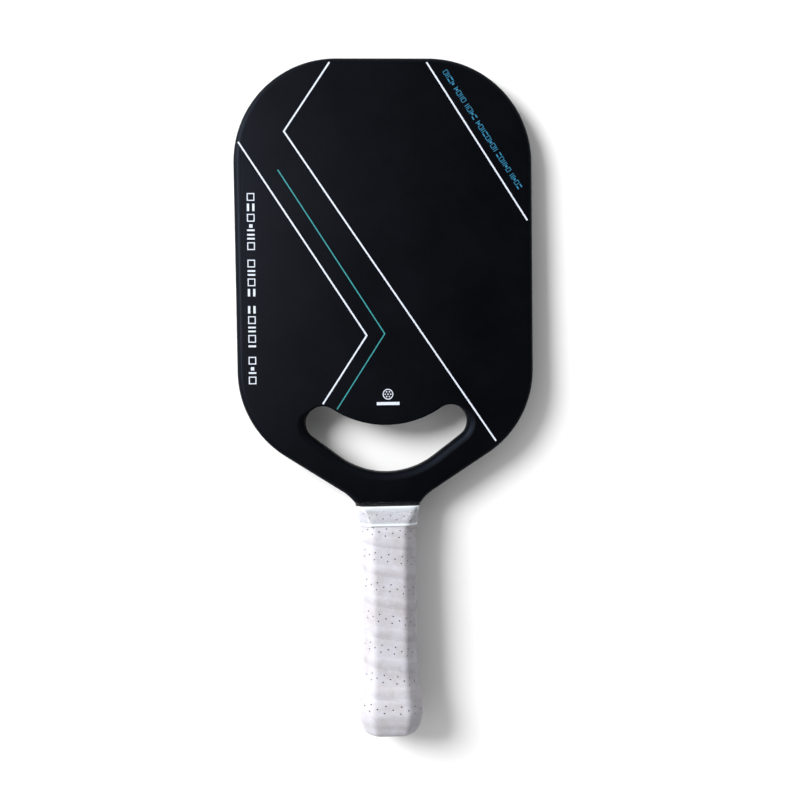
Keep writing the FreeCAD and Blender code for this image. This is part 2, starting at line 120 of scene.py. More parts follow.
def blendColours(tree, factor, first, second):
    node = addNode(tree, "ShaderNodeMix", {0: factor, 6: first, 7: second}, data_type="RGBA")
    return node.outputs[2]


def spread(tree, value, low, high, fromLow=0.3, fromHigh=0.7):
    # turns a noise value into the range low to high
    return addNode(tree, "ShaderNodeMapRange", {"Value": value, "From Min": fromLow, "From Max": fromHigh,
                                                "To Min": low, "To Max": high}).outputs["Result"]


def stops(tree, value, levels):
    # a curve through (place, level) pairs
    ramp = addNode(tree, "ShaderNodeValToRGB", {"Fac": value})
    while len(ramp.color_ramp.elements) < len(levels):
        ramp.color_ramp.elements.new(1.0)
    for element, (spot, level) in zip(ramp.color_ramp.elements, levels):
        element.position = spot
        element.color = (level, level, level, 1)
    return ramp.outputs["Color"]


def noiseOn(tree, place, grain, detail=3.0, rough=0.5):
    # grain is the size of one blotch in mm
    return addNode(tree, "ShaderNodeTexNoise", {"Vector": place, "Scale": 1 / (grain * mm), "Detail": detail,
                                                "Roughness": rough}).outputs["Fac"]


def bumpFrom(tree, height, depth, strength=1.0, under=None):
    # depth in mm
    links = {"Height": height, "Distance": depth * mm, "Strength": strength}
    if under is not None:
        links["Normal"] = under
    return addNode(tree, "ShaderNodeBump", links).outputs["Normal"]


def finishPiece(bm, name, materials, nodes=(), smooth=True):
    bmesh.ops.recalc_face_normals(bm, faces=bm.faces)
    for face in bm.faces:
        face.smooth = smooth
    mesh = bpy.data.meshes.new(name)
    bm.to_mesh(mesh)
    bm.free()
    for material in materials:
        mesh.materials.append(material)
    piece = bpy.data.objects.new(name, mesh)
    bpy.context.scene.collection.objects.link(piece)
    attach(piece, "root")
    if nodes:
        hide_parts(*nodes)
    print("piece", name, len(mesh.polygons), "faces")
    return piece


def vertsOf(geometry):
    return [item for item in geometry if isinstance(item, bmesh.types.BMVert)]


def facesOf(geometry):
    return [item for item in geometry if isinstance(item, bmesh.types.BMFace)]


def runTo(bm, vert, x, y):
    # a straight run on from the last vertex
    fresh = bmesh.ops.extrude_vert_indiv(bm, verts=[vert])["verts"][0]
    fresh.co = Vector((x * mm, y * mm, 0))
    return fresh


def arcRound(bm, vert, x, y, degrees, stepAngle):
    # an arc on from the last vertex, round a centre, anticlockwise if positive
    made = bmesh.ops.spin(bm, geom=[vert], cent=(x * mm, y * mm, 0), axis=(0, 0, 1),
                          angle=math.radians(degrees), steps=max(2, round(abs(degrees) / stepAngle)))
    return vertsOf(made["geom_last"])[0]


def closedRing(bm):
    # the vertices of the one loop in bm, anticlockwise seen from the front
    ring = [bm.verts[0], bm.verts[0].link_edges[0].other_vert(bm.verts[0])]
    while len(ring) < len(bm.verts):
        ring.append(next(e.other_vert(ring[-1]) for e in ring[-1].link_edges
                         if e.other_vert(ring[-1]) is not ring[-2]))
    area = sum(a.co.x * b.co.y - b.co.x * a.co.y for a, b in zip(ring, ring[1:] + ring[:1]))
    return ring if area > 0 else ring[::-1]


def outwardOf(ring):
    # the way out of the ring at each vertex, longer at its corners
    result = []
    for before, here, after in zip(ring[-1:] + ring[:-1], ring, ring[1:] + ring[:1]):
        a = (here.co - before.co).normalized()
        b = (after.co - here.co).normalized()
        first, second = Vector((a.y, -a.x, 0)), Vector((b.y, -b.x, 0))
        between = (first + second).normalized()
        result.append(between / between.dot(first))
    return result


def ringEdges(bm, ring):
    return [bm.edges.get((a, b)) for a, b in zip(ring, ring[1:] + ring[:1])]


def twinOf(vert, fresh):
    # the new vertex that was extruded from vert
    return next(e.other_vert(vert) for e in vert.link_edges if e.other_vert(vert) in fresh)


def nextRing(bm, ring, places):
    # extrudes a ring and puts each new vertex at its place
    made = bmesh.ops.extrude_edge_only(bm, edges=ringEdges(bm, ring))["geom"]
    fresh = set(vertsOf(made))
    twins = [twinOf(vert, fresh) for vert in ring]
    for twin, place in zip(twins, places):
        twin.co = place
    return twins


# ---- carbon shell: two faces, the moulded edge and the rim of the throat opening
shellSet = {
    "topCorner": 63.2, "lowCorner": 62.0, "lowCornerY": 228.03, "armAngle": 32.9,
    "neckRadius": 29.0, "neckX": 44.0, "neckY": 129.03, "tang": 15.0,
    "edgeRound": 3.0, "roundSteps": 8, "arcStep": 2.5,
    "support": 0.5,           # a flat ring inside each rounding keeps the shading even
}
openingSet = {
    "topY": 254.5, "topRadius": 60.0, "lowY": 214.0, "lowRadius": 49.0,
    "lobeX": 39.7, "lobeRadius": 10.7,
    "rimTop": 1.0, "rimLow": 4.8,       # rounding of its upper edge, and of the rest
}


def bodyLoop(bm, shape, tip, halfWidth, tangEnd):
    # half of the body's outline, from the tip down the right side, then its mirror image
    step = shape["arcStep"]
    arm = math.radians(shape["armAngle"])
    cornerX = halfWidth - shape["topCorner"]
    vert = bm.verts.new((0, tip * mm, 0))
    vert = runTo(bm, vert, cornerX, tip)
    vert = arcRound(bm, vert, cornerX, tip - shape["topCorner"], -90, step)
    vert = runTo(bm, vert, halfWidth, shape["lowCornerY"])
    vert = arcRound(bm, vert, halfWidth - shape["lowCorner"], shape["lowCornerY"],
                    -(90 - shape["armAngle"]), step)
    vert = runTo(bm, vert, shape["neckX"] - shape["neckRadius"] * math.sin(arm),
                 shape["neckY"] + shape["neckRadius"] * math.cos(arm))
    vert = arcRound(bm, vert, shape["neckX"], shape["neckY"], 90 - shape["armAngle"], step)
    vert = runTo(bm, vert, shape["tang"], tangEnd)
    runTo(bm, vert, 0, tangEnd)
    closeByMirror(bm)


def closeByMirror(bm):
    bmesh.ops.mirror(bm, geom=bm.verts[:] + bm.edges[:], axis="X", merge_dist=0.01 * mm)
    bmesh.ops.remove_doubles(bm, verts=bm.verts, dist=0.01 * mm)
    bm.verts.ensure_lookup_table()


def openingLoop(bm, shape, step):
    # half of the smile-shaped opening, from the middle of its upper edge
    top = math.degrees(math.asin(shape["lobeX"] / (shape["topRadius"] + shape["lobeRadius"])))
    lobeY = shape["topY"] - shape["lobeX"] / math.tan(math.radians(top))
    drop = shape["lowY"] - lobeY
    low = math.degrees(math.atan2(drop, shape["lobeX"]) + math.acos(
        (shape["lowRadius"] - shape["lobeRadius"]) / math.hypot(shape["lobeX"], drop)))
    vert = bm.verts.new((0, (shape["topY"] - shape["topRadius"]) * mm, 0))
    vert = arcRound(bm, vert, 0, shape["topY"], top, step)
    vert = arcRound(bm, vert, shape["lobeX"], lobeY, -(90 + top + low), step * 3)
    turn = math.radians(low)
    vert = runTo(bm, vert, shape["lowRadius"] * math.cos(turn),
                 shape["lowY"] - shape["lowRadius"] * math.sin(turn))
    arcRound(bm, vert, 0, shape["lowY"], -(90 - low), step)
    closeByMirror(bm)


def rimRings(bm, ring, way, radii, halfThickness, steps, support):
    # a straight wall from the middle plane, a quarter round, and a narrow flat ring
    start = [vert.co.copy() for vert in ring]
    for number in range(steps + 2):
        if number <= steps:
            angle = math.pi / 2 * number / steps
            shifts = [(r * (1 - math.cos(angle)), halfThickness - r + r * math.sin(angle)) for r in radii]
        else:
            shifts = [(r + support, halfThickness) for r in radii]
        places = [p + w * (inset * mm) + Vector((0, 0, z * mm))
                  for p, w, (inset, z) in zip(start, way, shifts)]
        ring = nextRing(bm, ring, places)
    return ring


def smoothStep(low, high, value):
    share = np.clip((value - low) / (high - low), 0, 1)
    return share * share * (3 - 2 * share)


def carbonShell(shape, opening):
    low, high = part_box("edge_wall")
    halfThickness = high[2] / mm
    bm = bmesh.new()
    bodyLoop(bm, shape, high[1] / mm, high[0] / mm, low[1] / mm)
    outer = closedRing(bm)
    outerWay = [-way for way in outwardOf(outer)]
    inner = bmesh.new()
    openingLoop(inner, opening, shape["arcStep"])
    innerRing = closedRing(inner)
    innerWay = outwardOf(innerRing)
    innerPlaces = [vert.co.copy() for vert in innerRing]
    inner.free()
    # the upper edge of the opening is crisp, its ends and lower edge are well rounded
    growth = opening["rimLow"] - opening["rimTop"]
    radii = [opening["rimTop"] + growth * smoothStep(0.85, 0.1, way.normalized().y)
             for way in innerWay]
    hole = [bm.verts.new(place) for place in innerPlaces]
    for a, b in zip(hole, hole[1:] + hole[:1]):
        bm.edges.new((a, b))
    outerTop = rimRings(bm, outer, outerWay, [shape["edgeRound"]] * len(outer), halfThickness,
                        shape["roundSteps"], shape["support"])
    holeTop = rimRings(bm, hole, innerWay, radii, halfThickness, shape["roundSteps"], shape["support"])
    bmesh.ops.triangle_fill(bm, use_beauty=True, normal=(0, 0, 1),
                            edges=ringEdges(bm, outerTop) + ringEdges(bm, holeTop))
    bmesh.ops.mirror(bm, geom=bm.verts[:] + bm.edges[:] + bm.faces[:], axis="Z", merge_dist=0.001 * mm)
    bmesh.ops.remove_doubles(bm, verts=bm.verts, dist=0.001 * mm)
    bm.normal_update()
    for face in bm.faces:
        face.material_index = 0 if abs(face.normal.z) > 0.97 else 1
    return bm


shellMesh = carbonShell(shellSet, openingSet)


# peel-ply carbon, cured against a release fabric: matte, faintly blue, with a fine cloth grit
def peelPlyCarbon():
    material, tree, place = newMaterial("peelPlyCarbon")
    pitch = 0.9                      # the real cloth is about 0.45 mm; coarser so that it shows
    warp = addNode(tree, "ShaderNodeTexWave", {"Vector": place, "Scale": 1 / (pitch * mm) / 20 * math.pi,
                                               "Distortion": 1.5, "Detail Scale": 2.0},
                   bands_direction="X")
    weft = addNode(tree, "ShaderNodeTexWave", {"Vector": place, "Scale": 1 / (pitch * mm) / 20 * math.pi,
                                               "Distortion": 1.5, "Detail Scale": 2.0},
                   bands_direction="Y")
    weave = addNode(tree, "ShaderNodeMath", {0: warp.outputs["Fac"], 1: weft.outputs["Fac"]},
                    operation="MULTIPLY").outputs[0]
    grit = noiseOn(tree, place, 0.7, 2.0)
    cloud = noiseOn(tree, place, 34.0, 4.0, 0.6)
    colour = blendColours(tree, spread(tree, cloud, 0.0, 1.0), linear("#010102"), linear("#030305"))
    normal = bumpFrom(tree, grit, 0.05, 0.5, bumpFrom(tree, weave, 0.03, 0.6))
    closeMaterial(tree, {"Base Color": colour, "Roughness": spread(tree, cloud, 0.31, 0.35),
                         "IOR": 1.5, "Specular IOR Level": 0.13, "Specular Tint": linear("#d4e2ff"),
                         "Normal": normal})
    return material


# sprayed satin paint over the moulded edge: even, with the slightest orange peel
def satinEdgePaint():
    material, tree, place = newMaterial("satinEdgePaint")
    peel = noiseOn(tree, place, 1.6, 2.0)
    cloud = noiseOn(tree, place, 20.0, 3.0)
    colour = blendColours(tree, spread(tree, cloud, 0.0, 1.0), linear("#040507"), linear("#06070a"))
    closeMaterial(tree, {"Base Color": colour, "Roughness": spread(tree, cloud, 0.42, 0.50),
                         "IOR": 1.5, "Specular IOR Level": 0.09, "Specular Tint": linear("#b9cdf5"),
                         "Normal": bumpFrom(tree, peel, 0.02, 0.5)})
    return material


carbonFace = peelPlyCarbon()
shell = finishPiece(shellMesh, "carbonShell", [carbonFace, satinEdgePaint()],
                    ("front_face", "back_face", "edge_wall", "throat_liner"))


# ---- printed lines and marks, screen printed on the front face
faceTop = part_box("front_face")[1][2] / mm
printSet = {
    "above": 0.03, "below": 0.05,       # ink stands this much over the face and sinks into it
    "whiteLines": [
        [(-32.2, 415.8), (-60.5, 374.3), (-24.6, 320.6), (67.6, 183.5)],
        [(-88.2, 368.0), (-11.9, 250.0), (-39.5, 208.1)],
        [(26.9, 415.8), (88.2, 319.7)],
    ],
    "whiteWidth": 1.0,
    "tealLines": [[(-64.6, 351.2), (-0.8, 250.9), (-30.8, 204.8)]],
    "tealWidth": 0.68,
}
sideMarks = {
    "start": (-79.9, 221.0), "end": (-79.0, 337.2), "height": 4.6, "gap": 1.35, "space": 3.4, "stroke": 0.85,
    "groups": ["030", "10402", "2040", "043020"],
}
cornerMarks = {
    "start": (36.6, 409.9), "end": (82.6, 338.6), "height": 3.2, "gap": 0.7, "space": 1.8, "stroke": 0.5,
    "groups": ["0423", "3040", "4032", "30420304", "20430", "4302"],
}
badgeSet = {"middle": (0.7, 213.6), "ball": 3.3, "stroke": 0.55, "dot": 0.45,
            "bar": (14.0, 1.9), "barY": 206.9}


def ribbon(bm, points, width):
    # a mitred band along a bent line
    flat = [Vector((x, y, 0)) for x, y in points]
    ways = [(b - a).normalized() for a, b in zip(flat, flat[1:])]
    ways = [ways[0]] + ways + [ways[-1]]
    left, right = [], []
    for here, before, after in zip(flat, ways, ways[1:]):
        side = Vector((-before.y - after.y, before.x + after.x, 0)).normalized()
        reach = width / 2 / side.dot(Vector((-before.y, before.x, 0)))
        left.append((here + side * reach) * mm)
        right.append((here - side * reach) * mm)
    ends = [bm.verts.new(left[0]), bm.verts.new(right[0])]
    bm.edges.new(ends)
    for places in zip(left[1:], right[1:]):
        made = vertsOf(bmesh.ops.extrude_edge_only(bm, edges=[bm.edges.get(ends)])["geom"])
        ends = [twinOf(vert, made) for vert in ends]
        for vert, place in zip(ends, places):
            vert.co = place


markWidths = {"0": 0.82, "1": 0.2, "2": 0.8, "3": 0.72, "4": 0.6}     # shares of the height


def blockMark(bm, kind, place, height, stroke):
    # one plain block of a printed row; returns its width
    width = markWidths[kind] * height
    if kind == "2":                     # two bars
        for low in (0.0, height - stroke * 1.6):
            addRect(bm, place, low, 0, stroke * 1.6, width)
    elif kind == "3":                   # bar beside a small block
        addRect(bm, place, 0, 0, height, stroke)
        addRect(bm, place, height * 0.28, stroke * 2, height * 0.44, width - stroke * 2)
    elif kind == "4":                   # two uprights
        for left in (0.0, width - stroke):
            addRect(bm, place, 0, left, height, stroke)
    else:
        face = addRect(bm, place, 0, 0, height, width)
        if kind == "0":                 # hollow block
            bmesh.ops.inset_individual(bm, faces=[face], thickness=stroke * mm)
            bmesh.ops.delete(bm, geom=[face], context="FACES")
    return width


def addRect(bm, place, low, left, height, width):
    corners = [(left, low), (left + width, low), (left + width, low + height), (left, low + height)]
    face = bm.faces.new([bm.verts.new(place @ Vector((x * mm, y * mm, 0))) for x, y in corners])
    face.normal_update()
    return face


def markRow(bm, row):
    # blocks in groups along a line, scaled to fill it
    start, end = (Vector((*row[name], 0)) for name in ("start", "end"))
    along = (end - start).normalized()
    across = Vector((-along.y, along.x, 0))
    turn = Matrix((along, across, Vector((0, 0, 1)))).transposed().to_4x4()
    total = sum(sum(markWidths[kind] * row["height"] + row["gap"] for kind in group) + row["space"]
                for group in row["groups"]) - row["space"] - row["gap"]
    stretch = (end - start).length / total
    reach = 0.0
    for group in row["groups"]:
        for kind in group:
            spot = start + along * (reach * stretch)
            place = Matrix.Translation(spot * mm) @ turn @ Matrix.Scale(stretch, 4, (1, 0, 0))
            reach += blockMark(bm, kind, place, row["height"], row["stroke"]) + row["gap"]
        reach += row["space"]


def badge(bm, shape):
    x, y = shape["middle"]
    place = Matrix.Translation((x * mm, y * mm, 0))
    ring = bmesh.ops.create_circle(bm, cap_ends=True, segments=28, radius=shape["ball"] * mm,
                                   matrix=place)["verts"]
    face = ring[0].link_faces[0]
    bmesh.ops.inset_individual(bm, faces=[face], thickness=shape["stroke"] * mm)
    bmesh.ops.delete(bm, geom=[face], context="FACES")
    for number in range(7):
        angle = math.radians(60 * number)
        reach = 0 if number == 6 else shape["ball"] * 0.52
        dot = place @ Matrix.Translation((reach * math.cos(angle) * mm, reach * math.sin(angle) * mm, 0))
        bmesh.ops.create_circle(bm, cap_ends=True, segments=10, radius=shape["dot"] * mm, matrix=dot)
    width, height = shape["bar"]
    addRect(bm, Matrix.Translation(((x - width / 2) * mm, shape["barY"] * mm, 0)), 0, 0, height, width)


def printedInk(bm, name, material):
    # raises the flat shapes to the face and gives them the ink's thickness
    bmesh.ops.remove_doubles(bm, verts=bm.verts, dist=0.002 * mm)
    bmesh.ops.translate(bm, verts=bm.verts, vec=(0, 0, (faceTop + printSet["above"]) * mm))
    made = bmesh.ops.extrude_face_region(bm, geom=bm.faces[:], use_keep_orig=True)["geom"]
    bmesh.ops.translate(bm, verts=vertsOf(made), vec=(0, 0, -(printSet["above"] + printSet["below"]) * mm))
    return finishPiece(bm, name, [material], smooth=False)


# screen printing ink: thin, flat, slightly uneven where the mesh left it
def screenInk(name, thin, full):
    material, tree, place = newMaterial(name)
    patch = noiseOn(tree, place, 1.4, 3.0)
    colour = blendColours(tree, spread(tree, patch, 0.0, 1.0, 0.25, 0.5), linear(thin), linear(full))
    closeMaterial(tree, {"Base Color": colour, "Roughness": spread(tree, patch, 0.5, 0.62),
                         "IOR": 1.5, "Normal": bumpFrom(tree, patch, 0.01, 0.4)})
    return material


whiteInk = screenInk("whiteInk", "#b4bcc9", "#d0d7e4")
tealInk = screenInk("tealInk", "#106a6e", "#158a8f")
blueInk = screenInk("blueInk", "#03506f", "#057399")
lines = bmesh.new()
for points in printSet["whiteLines"]:
    ribbon(lines, points, printSet["whiteWidth"])
printedInk(lines, "whiteLines", whiteInk)
lines = bmesh.new()
for points in printSet["tealLines"]:
    ribbon(lines, points, printSet["tealWidth"])
printedInk(lines, "tealLine", tealInk)
marks = bmesh.new()
markRow(marks, sideMarks)
badge(marks, badgeSet)
printedInk(marks, "whiteMarks", whiteInk)
marks = bmesh.new()
markRow(marks, cornerMarks)
printedInk(marks, "blueMarks", blueInk)


# ---- grip: the form that the cushion, the tape and the film follow
gripSet = {
    # way up the grip, half width, half thickness and chamfer of its octagon, mm; below 0 is the end face
    "stations": [(-6, 6.7, 3.95, 2.0), (0, 12.7, 9.95, 4.85), (2.6, 16.5, 13.75, 6.7), (8.2, 18.9, 16.15, 7.88),
                 (15, 20.1, 17.35, 8.46), (31, 17.9, 15.15, 7.39), (37, 16.9, 14.15, 6.9), (130, 16.9, 14.15, 6.9),
                 (144, 19.9, 9.2, 3.0), (152, 22.0, 8.6, 3.0)],
    "samples": 216,           # round the section
    "rounding": 2.2,          # mm either way along the section
    "lowest": -6, "endPad": 1.1,      # the tape's folds at the blunt end stand out this far
    "tape": 0.65, "bias": 0.2,
}


def gripForm(shape):
    # tables of points and outward directions, by height (1 mm rows) and share of the perimeter
    stations = np.array(shape["stations"], dtype=float)
    rows = np.arange(shape["lowest"], 152.5, 1.0)
    wide, thick, chamfer = (np.interp(rows, stations[:, 0], stations[:, k]) for k in (1, 2, 3))
    count = shape["samples"]
    table = np.zeros((len(rows), count, 3))
    for index, (height, a, b, c) in enumerate(zip(rows, wide, thick, chamfer)):
        corners = np.array([(0, b), (-(a - c), b), (-a, b - c), (-a, c - b), (c - a, -b), (a - c, -b),
                            (a, c - b), (a, b - c), (a - c, b), (0, b)])
        length = np.concatenate([[0], np.cumsum(np.linalg.norm(np.diff(corners, axis=0), axis=1))])
        spots = np.arange(count) / count * length[-1]
        table[index, :, 0] = np.interp(spots, length, corners[:, 0])
        table[index, :, 2] = np.interp(spots, length, corners[:, 1])
        table[index, :, 1] = max(height, 0) - shape["endPad"] * (1 - smoothStep(0, 9, height))
    reach = round(shape["rounding"] / (108.0 / count))
    table = sum(np.roll(table, shift, axis=1) for shift in range(-reach, reach + 1)) / (2 * reach + 1)
    table[1:-1] = (table[:-2] + table[1:-1] + table[2:]) / 3
    around = np.roll(table, -1, axis=1) - np.roll(table, 1, axis=1)
    upward = np.gradient(table, axis=0)
    way = np.cross(upward, around)
    way /= np.linalg.norm(way, axis=2, keepdims=True)
    middleRow = way[len(rows) // 2, 0]
    return table, way if middleRow[2] > 0 else -way


formTable, formWay = gripForm(gripSet)


def onGrip(share, height, lift):
    # points in mm on the grip's form, lifted off it
    rows, count = formTable.shape[:2]
    row = np.clip(height - gripSet["lowest"], 0, rows - 1.001)
    column = np.mod(share, 1.0) * count
    r, c = row.astype(int), column.astype(int) % count
    fr, fc = (row - r)[:, None], (column - np.floor(column))[:, None]
    after = (c + 1) % count

    def sample(table):
        low = table[r, c] * (1 - fc) + table[r, after] * fc
        high = table[r + 1, c] * (1 - fc) + table[r + 1, after] * fc
        return low * (1 - fr) + high * fr

    way = sample(formWay)
    way /= np.linalg.norm(way, axis=1, keepdims=True)
    return sample(formTable) + way * lift[:, None]


tapeSet = {
    "width": 24.725, "across": 23, "cell": 1.05, "perimeter": 108.04, "angle": 9.8,
    "firstTurn": -1.45, "lastTurn": 7.6,
    "countFrom": -2.0,         # the turn that the next two lists start at
    "heights": [11.2, 11.6, 18.7, 37.0, 55.5, 74.6, 94.2, 112.7, 128.5, 138.8, 146.0],
    "slopes": [0.0, 2.0, 9.0, 14.0, 18.8, 19.0, 19.0, 18.0, 14.0, 8.5, 6.0],     # mm per turn at the front
    "top": 144.0,
    "thin": 0.30,              # the edges are pared down by this much
    "layer": 0.38,             # stretched tape adds this much over an earlier turn
    "trimFrom": 4.6, "trimTo": 7.0, "trimWidth": 7.0,      # its lower edge is trimmed towards the end
    "holeEvery": 8, "holeRows": {-2: 0, 0: 4, 2: 0}, "holeSize": 0.48, "holeDepth": 0.28,
}


def turnHeight(turn):
    # height of the tape's centre line, by turn, through the listed heights and slopes
    heights, slopes = np.array(tapeSet["heights"]), np.array(tapeSet["slopes"])
    at = np.clip(turn - tapeSet["countFrom"], 0, len(heights) - 1.001)
    i = at.astype(int)
    f = at - i
    return (heights[i] * (1 + 2 * f) * (1 - f) ** 2 + slopes[i] * f * (1 - f) ** 2
            + heights[i + 1] * f * f * (3 - 2 * f) + slopes[i + 1] * f * f * (f - 1))


def layersUnder(turn, across, height):
    # how many earlier turns lie under a point of the tape, with soft steps at their edges
    slant = math.sin(math.radians(tapeSet["angle"])) / tapeSet["perimeter"]
    upright = math.cos(math.radians(tapeSet["angle"]))
    half = tapeSet["width"] / 2
    total = np.zeros_like(turn)
    for back in (1, 2, 3):
        other = across
        for _ in range(3):
            place = turn - back + (other - across) * slant
            other = (height - turnHeight(place)) / upright
        cover = smoothStep(-1.1, 0.3, half - np.abs(other)) * (place > tapeSet["firstTurn"] - 0.002)
        total += cover
    return total


def mapTape(flat):
    # lays points (along, across, up), in mm, on the grip as a climbing wrap
    along, across, up = flat[:, 0], flat[:, 1], flat[:, 2]
    turn = tapeSet["firstTurn"] + along / tapeSet["perimeter"]
    trimmed = np.clip((turn - tapeSet["trimFrom"]) / (tapeSet["trimTo"] - tapeSet["trimFrom"]), 0, 1)
    half = tapeSet["width"] / 2
    narrow = half + (tapeSet["trimWidth"] - half) * trimmed
    across = np.where(across < -3, -3 + (across + 3) * (narrow - 3) / (half - 3), across)
    lean = math.radians(tapeSet["angle"])
    share = turn - across * math.sin(lean) / tapeSet["perimeter"]
    height = turnHeight(turn) + across * math.cos(lean)
    lift = layersUnder(turn, across, height) * tapeSet["layer"]
    pared = smoothStep(half - 2.2, half, np.abs(flat[:, 1])) * tapeSet["thin"]
    body = up - pared * (up > 0.3)
    crease = np.array([wrinkle(2 * math.pi * s, h) for s, h in zip(share, height)])
    return onGrip(share, height, lift + body + crease + tapeSet["base"]), height


def wrinkle(angle, height):
    # slack and pulls in the tape, deepest round the flare of the butt
    flare = math.exp(-((height - 24) / 9) ** 2)
    place = Vector((17 * math.cos(angle), height, 17 * math.sin(angle)))
    slow = noise.noise(place * 0.08)
    pull = noise.noise(place * 0.21)
    fold = noise.noise(Vector((place.x * 0.10, place.y * 0.36 + place.x * 0.06, place.z * 0.10)))
    return 0.12 * slow + 0.06 * pull + 0.46 * flare * (fold if fold > 0 else 0.4 * fold)


tapeSet["base"] = -gripSet["tape"] - gripSet["bias"]


def gripTape():
    length = (tapeSet["lastTurn"] - tapeSet["firstTurn"]) * tapeSet["perimeter"]
    columns = round(length / tapeSet["cell"])
    bm = bmesh.new()
    bmesh.ops.create_grid(bm, x_segments=columns, y_segments=tapeSet["across"], size=0.5)
    bmesh.ops.scale(bm, verts=bm.verts, vec=(columns * tapeSet["cell"], tapeSet["width"], 1))
    bmesh.ops.translate(bm, verts=bm.verts, vec=(columns * tapeSet["cell"] / 2, 0, gripSet["tape"]))
    across = tapeSet["width"] / tapeSet["across"]
    holes = []
    for face in bm.faces:
        spot = face.calc_center_median()
        row, column = round(spot.y / across), round(spot.x / tapeSet["cell"] - 0.5)
        if row in tapeSet["holeRows"] and (column + tapeSet["holeRows"][row]) % tapeSet["holeEvery"] == 0:
            holes.append(face)
    under = bmesh.ops.extrude_face_region(bm, geom=bm.faces[:], use_keep_orig=True)["geom"]
    bmesh.ops.translate(bm, verts=vertsOf(under), vec=(0, 0, -gripSet["tape"]))
    bmesh.ops.inset_individual(bm, faces=holes, thickness=0.08)
    rims = list({edge for face in holes for edge in face.edges})
    bmesh.ops.subdivide_edges(bm, edges=rims, cuts=1)
    for face in holes:
        middleSpot = face.calc_center_median()
        for vert in face.verts:
            vert.co = middleSpot + (vert.co - middleSpot).normalized() * tapeSet["holeSize"]
    pits = facesOf(bmesh.ops.extrude_discrete_faces(bm, faces=holes)["faces"])
    for pit in pits:
        bmesh.ops.translate(bm, verts=pit.verts, vec=(0, 0, -tapeSet["holeDepth"]))
        pit.material_index = 1
    bm.normal_update()
    for edge in bm.edges:
        edge.smooth = edge.calc_face_angle(0) < 1
    flat = np.array([vert.co[:] for vert in bm.verts])
    placed, _ = mapTape(flat)
    acrossTape = bm.verts.layers.float.new("acrossTape")
    for vert in bm.verts:
        vert[acrossTape] = vert.co.y
    for vert, place in zip(bm.verts, placed):
        vert.co = Vector(place) * mm
    cut = bmesh.ops.bisect_plane(bm, geom=bm.verts[:] + bm.edges[:] + bm.faces[:], dist=0.001 * mm,
                                 plane_co=(0, tapeSet["top"] * mm, 0), plane_no=(0, 1, 0), clear_outer=True)
    edges = [item for item in cut["geom_cut"] if isinstance(item, bmesh.types.BMEdge) and item.is_boundary]
    bmesh.ops.holes_fill(bm, edges=edges, sides=0)
    return bm


# perforated PU tape: matt, soft white with a lilac cast, greyed by handling, with painted shade along its seams
def perforatedTape():
    material, tree, place = newMaterial("perforatedTape")
    smudge = noiseOn(tree, place, 9.0, 5.0, 0.6)
    fine = noiseOn(tree, place, 1.2, 3.0)
    colour = blendColours(tree, spread(tree, smudge, 0.0, 1.0, 0.35, 0.68), linear("#bab9c2"), linear("#a9a5a7"))
    colour = blendColours(tree, spread(tree, fine, 0.0, 0.35), colour, linear("#c4c3cc"))
    # painted shade: a soft grey band along the lower edge of each turn, where it lies over the turn below, darkest
    # at the very edge and broken by an unshaded line just above it
    across = addNode(tree, "ShaderNodeAttribute", attribute_name="acrossTape").outputs["Fac"]
    edge = spread(tree, across, 0.0, 1.0, -12.4, -7.4)
    seamShade = stops(tree, edge, [(0.0, 0.42), (0.05, 0.2), (0.12, 0.0), (0.22, 0.16), (0.42, 0.22), (1.0, 0.0)])
    # the smudge noise makes the painted seam shade patchy
    patchySeamShade = addNode(tree, "ShaderNodeMath", {0: seamShade, 1: spread(tree, smudge, 0.3, 1.2, 0.35, 0.68)},
                     operation="MULTIPLY").outputs[0]
    colour = blendColours(tree, patchySeamShade, colour, linear("#8f8c8f"))
    pebble = noiseOn(tree, place, 0.55, 2.0)
    closeMaterial(tree, {"Base Color": colour, "Roughness": spread(tree, smudge, 0.52, 0.64), "IOR": 1.46,
                         "Specular IOR Level": 0.4, "Sheen Weight": 0.1,
                         "Normal": bumpFrom(tree, pebble, 0.06, 0.6, bumpFrom(tree, smudge, 0.3, 0.3))})
    return material


def plainPattern(name, first, second, grain, rough=0.6, depth=0.05, **extra):
    material, tree, place = newMaterial(name)
    patch = noiseOn(tree, place, grain, 4.0)
    colour = blendColours(tree, spread(tree, patch, 0.0, 1.0), linear(first), linear(second))
    links = {"Base Color": colour, "Roughness": spread(tree, patch, rough - 0.05, rough + 0.05),
             "Normal": bumpFrom(tree, patch, depth, 0.6)}
    links.update(extra)
    closeMaterial(tree, links)
    return material


punchedEdge = plainPattern("punchedEdge", "#2c292b", "#454044", 0.6, 0.8)
finishPiece(gripTape(), "gripTape", [perforatedTape(), punchedEdge], ("overgrip",))


# ---- cushion under the tape, butt cap and the clear film, all rings round the same form
def ringPlaces(height, lift, count):
    share = np.arange(count) / count
    lifts = np.full(count, lift) if np.isscalar(lift) else lift
    return [Vector(p) * mm for p in onGrip(share, np.full(count, float(height)), lifts)]


def firstRing(bm, places):
    ring = [bm.verts.new(place) for place in places]
    for a, b in zip(ring, ring[1:] + ring[:1]):
        bm.edges.new((a, b))
    return ring


cushionSet = {"low": 9.4, "high": 130.0, "thickness": 1.2, "rows": 64, "count": 108, "under": -0.95}


